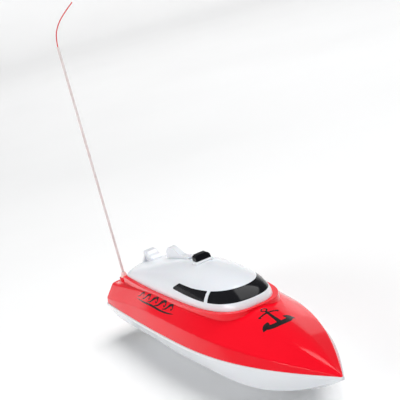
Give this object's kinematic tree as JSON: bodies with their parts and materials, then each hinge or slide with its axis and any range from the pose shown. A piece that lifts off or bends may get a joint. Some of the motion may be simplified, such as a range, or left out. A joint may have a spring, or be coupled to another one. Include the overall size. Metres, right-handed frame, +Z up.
{
  "type": "radio-controlled toy boat",
  "caption": "Twin-screw radio-controlled toy speedboat: glossy red deck on a white hull, lift-off white cabin with dark wrap windows, tall whip aerial.",
  "frame": {"origin": "on the centreline of the flat keel pad, under the widest point of the hull", "axes": "+X to the bow, +Y to port, +Z up, out of the keel pad"},
  "size_m": [0.3401, 0.0966, 0.3084],
  "materials": {
    "hull_white": "glossy white ABS moulding",
    "deck_red": "high gloss red ABS moulding",
    "cabin_white": "glossy white ABS moulding",
    "window_black": "gloss black glazing",
    "seal_foam": "black foam strip",
    "aerial_boot": "soft translucent pink-white boot",
    "aerial_tube": "milky translucent tube",
    "aerial_wire": "red PVC insulated wire",
    "propeller_plastic": "white nylon",
    "shaft_steel": "ground steel",
    "tube_brass": "drawn brass",
    "bush_brass": "sintered bronze",
    "coupling_rubber": "black silicone sleeve",
    "motor_can": "zinc plated drawn steel",
    "endcap_plastic": "white nylon",
    "bracket_plastic": "black moulding",
    "screw_steel": "zinc plated screws",
    "cell_wrap": "green shrink wrap",
    "strap_web": "woven hook and loop",
    "board_laminate": "phenolic board",
    "chip_plastic": "moulded epoxy",
    "crystal_can": "nickel plated can",
    "capacitor_sleeve": "dark blue sleeve",
    "coil_plastic": "orange former",
    "switch_metal": "pressed frame",
    "slider_plastic": "black slider"
  },
  "bodies": {
    "hull": {"lower_hull": "hull_white", "deck": "deck_red", "cover_seal": "seal_foam", "antenna_boot": "aerial_boot", "antenna_tube": "aerial_tube", "antenna_wire": "aerial_wire", "antenna_wire_end": "aerial_wire", "motor_cradle": "bracket_plastic", "motor_clamp": "bracket_plastic", "clamp_screws": "screw_steel", "battery_tray": "bracket_plastic", "battery_cells": "cell_wrap", "battery_strap": "strap_web", "tray_screws": "screw_steel", "receiver_board": "board_laminate", "board_screws": "screw_steel", "decoder_chip": "chip_plastic", "motor_drivers": "chip_plastic", "tuning_coil": "coil_plastic", "crystal": "crystal_can", "smoothing_capacitor": "capacitor_sleeve", "switch_bracket": "bracket_plastic", "switch_body": "switch_metal", "stern_tube_port": "tube_brass", "aft_bush_port": "bush_brass", "fore_bush_port": "bush_brass", "motor_can_port": "motor_can", "motor_endcap_port": "endcap_plastic", "stern_tube_starboard": "tube_brass", "aft_bush_starboard": "bush_brass", "fore_bush_starboard": "bush_brass", "motor_can_starboard": "motor_can", "motor_endcap_starboard": "endcap_plastic"},
    "cover": {"cabin_cover": "cabin_white", "windscreen": "window_black", "side_window_port": "window_black", "side_window_starboard": "window_black", "flybridge_visor": "window_black", "stern_mast": "cabin_white", "radar_fin": "cabin_white"},
    "switch": {"switch_slider": "slider_plastic"},
    "port_drive": {"propeller_port": "propeller_plastic", "drive_shaft_port": "shaft_steel", "coupling_port": "coupling_rubber", "motor_shaft_port": "shaft_steel"},
    "starboard_drive": {"propeller_starboard": "propeller_plastic", "drive_shaft_starboard": "shaft_steel", "coupling_starboard": "coupling_rubber", "motor_shaft_starboard": "shaft_steel"}
  },
  "joints": [
    {"name": "cover_lift", "type": "slide", "parent": "hull", "child": "cover", "axis": [0, 0, 1], "range_m": [0, 0.06]},
    {"name": "port_propeller_spin", "type": "hinge", "parent": "hull", "child": "port_drive", "pos_m": [-0.14, 0.017, 0.0125], "axis": [0.9954, 0, 0.0958], "continuous": true},
    {"name": "starboard_propeller_spin", "type": "hinge", "parent": "hull", "child": "starboard_drive", "pos_m": [-0.14, -0.017, 0.0125], "axis": [0.9954, 0, 0.0958], "continuous": true},
    {"name": "power_switch_slide", "type": "slide", "parent": "hull", "child": "switch", "axis": [0, 1, 0], "range_m": [0, 0.004]}
  ]
}
